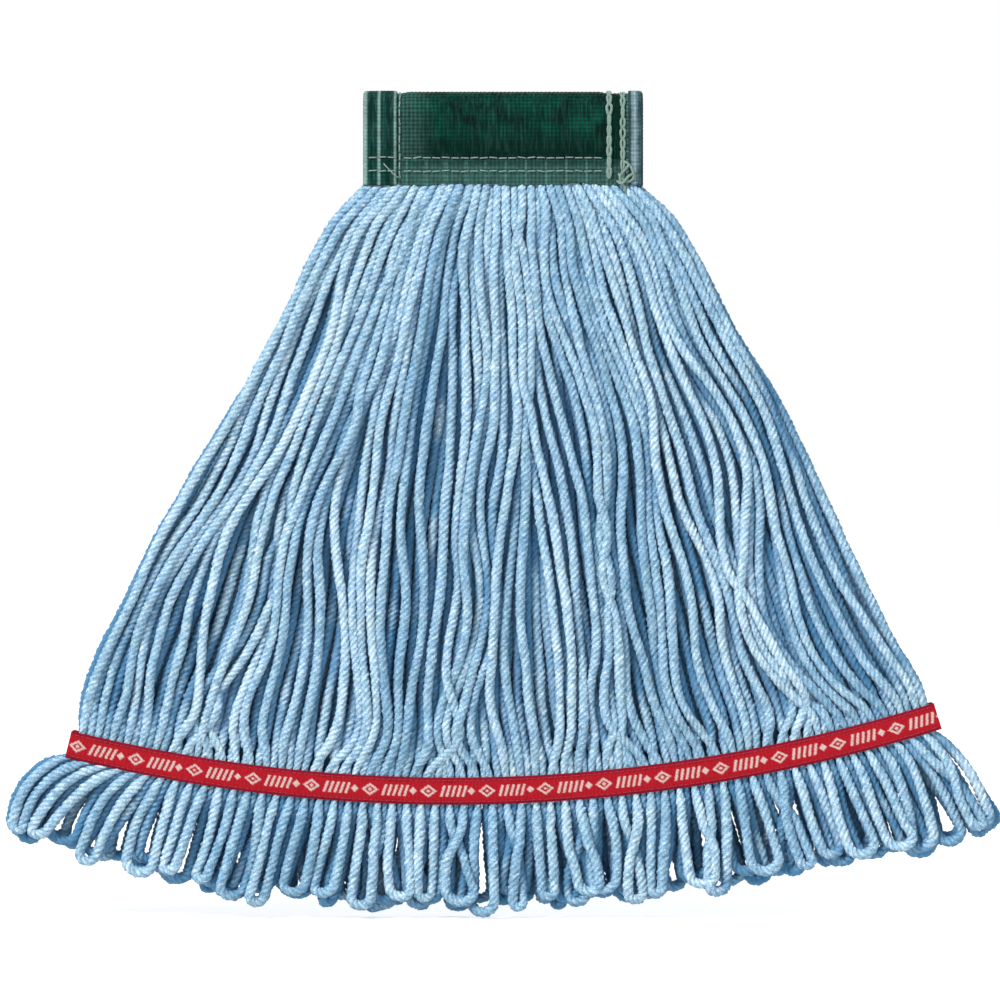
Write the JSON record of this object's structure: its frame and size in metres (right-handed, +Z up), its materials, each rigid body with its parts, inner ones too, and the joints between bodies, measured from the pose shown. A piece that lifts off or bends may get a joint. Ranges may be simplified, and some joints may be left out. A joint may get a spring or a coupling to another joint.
{
  "type": "string mop head",
  "caption": "Looped-end wet mop head: twisted blue yarn folded in two under a wide green mesh headband, each half held in a fan by a red tail band above a fringe of loops.",
  "frame": {"origin": "axis of the handle clamp's crossbar where it lies in the fold of the headband, midway along the headband", "axes": "+Z up towards the handle; +X along the headband, to the right seen from the front; -Y is the front, so the two halves of yarn lie either side of the XZ plane"},
  "size_m": [0.5854, 0.027, 0.4825],
  "materials": {
    "headband_mesh": "coated woven mesh, dark green",
    "headband_lining": "coated woven mesh, dark green",
    "headband_hem": "mesh turned double, with pale threads",
    "selvage": "open edge threads, grey-blue",
    "seam_thread": "polyester thread, pale grey-green",
    "yarn": "four-ply blended cotton yarn, light blue, matte and fuzzy",
    "tail_tape": "woven tape, red with a pale woven pattern",
    "tape_thread": "polyester thread, dark red"
  },
  "bodies": {
    "headband_fold": {"headband_cover_fold": "headband_mesh", "headband_lining_fold": "headband_lining", "yarn_core_fold": "yarn", "left_hem_fold": "headband_hem", "right_selvage_fold": "selvage", "left_seam_fold": "seam_thread", "chain_stitch_inner_fold": "seam_thread", "chain_stitch_outer_fold": "seam_thread"},
    "front_leaf": {"headband_cover_front": "headband_mesh", "headband_lining_front": "headband_lining", "yarn_core_front": "yarn", "left_hem_front": "headband_hem", "right_selvage_front": "selvage", "left_seam_front": "seam_thread", "chain_stitch_inner_front": "seam_thread", "chain_stitch_outer_front": "seam_thread", "upper_row_stitch_front": "seam_thread", "lower_row_stitch_front": "seam_thread"},
    "back_leaf": {"headband_cover_back": "headband_mesh", "headband_lining_back": "headband_lining", "yarn_core_back": "yarn", "left_hem_back": "headband_hem", "right_selvage_back": "selvage", "left_seam_back": "seam_thread", "chain_stitch_inner_back": "seam_thread", "chain_stitch_outer_back": "seam_thread", "upper_row_stitch_back": "seam_thread", "lower_row_stitch_back": "seam_thread"},
    "front_fan": {"yarn_bundle_front_1": "yarn", "yarn_bundle_front_2": "yarn", "yarn_bundle_front_3": "yarn", "yarn_bundle_front_4": "yarn", "yarn_bundle_front_5": "yarn", "tail_tape_outer_front": "tail_tape", "tail_tape_inner_front": "tail_tape", "tape_stitch_upper_front": "tape_thread", "tape_stitch_lower_front": "tape_thread"},
    "back_fan": {"yarn_bundle_back_1": "yarn", "yarn_bundle_back_2": "yarn", "yarn_bundle_back_3": "yarn", "yarn_bundle_back_4": "yarn", "yarn_bundle_back_5": "yarn", "tail_tape_outer_back": "tail_tape", "tail_tape_inner_back": "tail_tape", "tape_stitch_upper_back": "tape_thread", "tape_stitch_lower_back": "tape_thread"},
    "front_fringe_1": {"loop_fringe_front_1": "yarn"},
    "front_fringe_2": {"loop_fringe_front_2": "yarn"},
    "front_fringe_3": {"loop_fringe_front_3": "yarn"},
    "front_fringe_4": {"loop_fringe_front_4": "yarn"},
    "front_fringe_5": {"loop_fringe_front_5": "yarn"},
    "back_fringe_1": {"loop_fringe_back_1": "yarn"},
    "back_fringe_2": {"loop_fringe_back_2": "yarn"},
    "back_fringe_3": {"loop_fringe_back_3": "yarn"},
    "back_fringe_4": {"loop_fringe_back_4": "yarn"},
    "back_fringe_5": {"loop_fringe_back_5": "yarn"}
  },
  "joints": [
    {"name": "front_leaf_fold", "type": "hinge", "parent": "headband_fold", "child": "front_leaf", "pos_m": [0, -0.013, 0], "axis": [-1, 0, 0], "range_deg": [0, 90]},
    {"name": "front_fan_swing", "type": "hinge", "parent": "front_leaf", "child": "front_fan", "pos_m": [0, -0.013, -0.043], "axis": [-1, 0, 0], "range_deg": [0, 80]},
    {"name": "front_fringe_1_swing", "type": "hinge", "parent": "front_fan", "child": "front_fringe_1", "pos_m": [-0.20374, -0.0094, -0.39163], "axis": [-0.9831, 0, 0.1831], "range_deg": [0, 75]},
    {"name": "front_fringe_2_swing", "type": "hinge", "parent": "front_fan", "child": "front_fringe_2", "pos_m": [-0.10176, -0.0094, -0.40504], "axis": [-0.9971, 0, 0.0767], "range_deg": [0, 75]},
    {"name": "front_fringe_3_swing", "type": "hinge", "parent": "front_fan", "child": "front_fringe_3", "pos_m": [0.00024, -0.0094, -0.40731], "axis": [-0.9995, 0, -0.0324], "range_deg": [0, 75]},
    {"name": "front_fringe_4_swing", "type": "hinge", "parent": "front_fan", "child": "front_fringe_4", "pos_m": [0.10222, -0.0094, -0.39843], "axis": [-0.9901, 0, -0.1403], "range_deg": [0, 75]},
    {"name": "front_fringe_5_swing", "type": "hinge", "parent": "front_fan", "child": "front_fringe_5", "pos_m": [0.20418, -0.0094, -0.37842], "axis": [-0.9699, 0, -0.2434], "range_deg": [0, 75]},
    {"name": "back_leaf_fold", "type": "hinge", "parent": "headband_fold", "child": "back_leaf", "pos_m": [0, 0.013, 0], "axis": [1, 0, 0], "range_deg": [0, 90]},
    {"name": "back_fan_swing", "type": "hinge", "parent": "back_leaf", "child": "back_fan", "pos_m": [0, 0.013, -0.043], "axis": [1, 0, 0], "range_deg": [0, 80]},
    {"name": "back_fringe_1_swing", "type": "hinge", "parent": "back_fan", "child": "back_fringe_1", "pos_m": [-0.20374, 0.0094, -0.39163], "axis": [0.9831, 0, -0.1831], "range_deg": [0, 75]},
    {"name": "back_fringe_2_swing", "type": "hinge", "parent": "back_fan", "child": "back_fringe_2", "pos_m": [-0.10176, 0.0094, -0.40504], "axis": [0.9971, 0, -0.0767], "range_deg": [0, 75]},
    {"name": "back_fringe_3_swing", "type": "hinge", "parent": "back_fan", "child": "back_fringe_3", "pos_m": [0.00024, 0.0094, -0.40731], "axis": [0.9995, 0, 0.0324], "range_deg": [0, 75]},
    {"name": "back_fringe_4_swing", "type": "hinge", "parent": "back_fan", "child": "back_fringe_4", "pos_m": [0.10222, 0.0094, -0.39843], "axis": [0.9901, 0, 0.1403], "range_deg": [0, 75]},
    {"name": "back_fringe_5_swing", "type": "hinge", "parent": "back_fan", "child": "back_fringe_5", "pos_m": [0.20418, 0.0094, -0.37842], "axis": [0.9699, 0, 0.2434], "range_deg": [0, 75]}
  ]
}
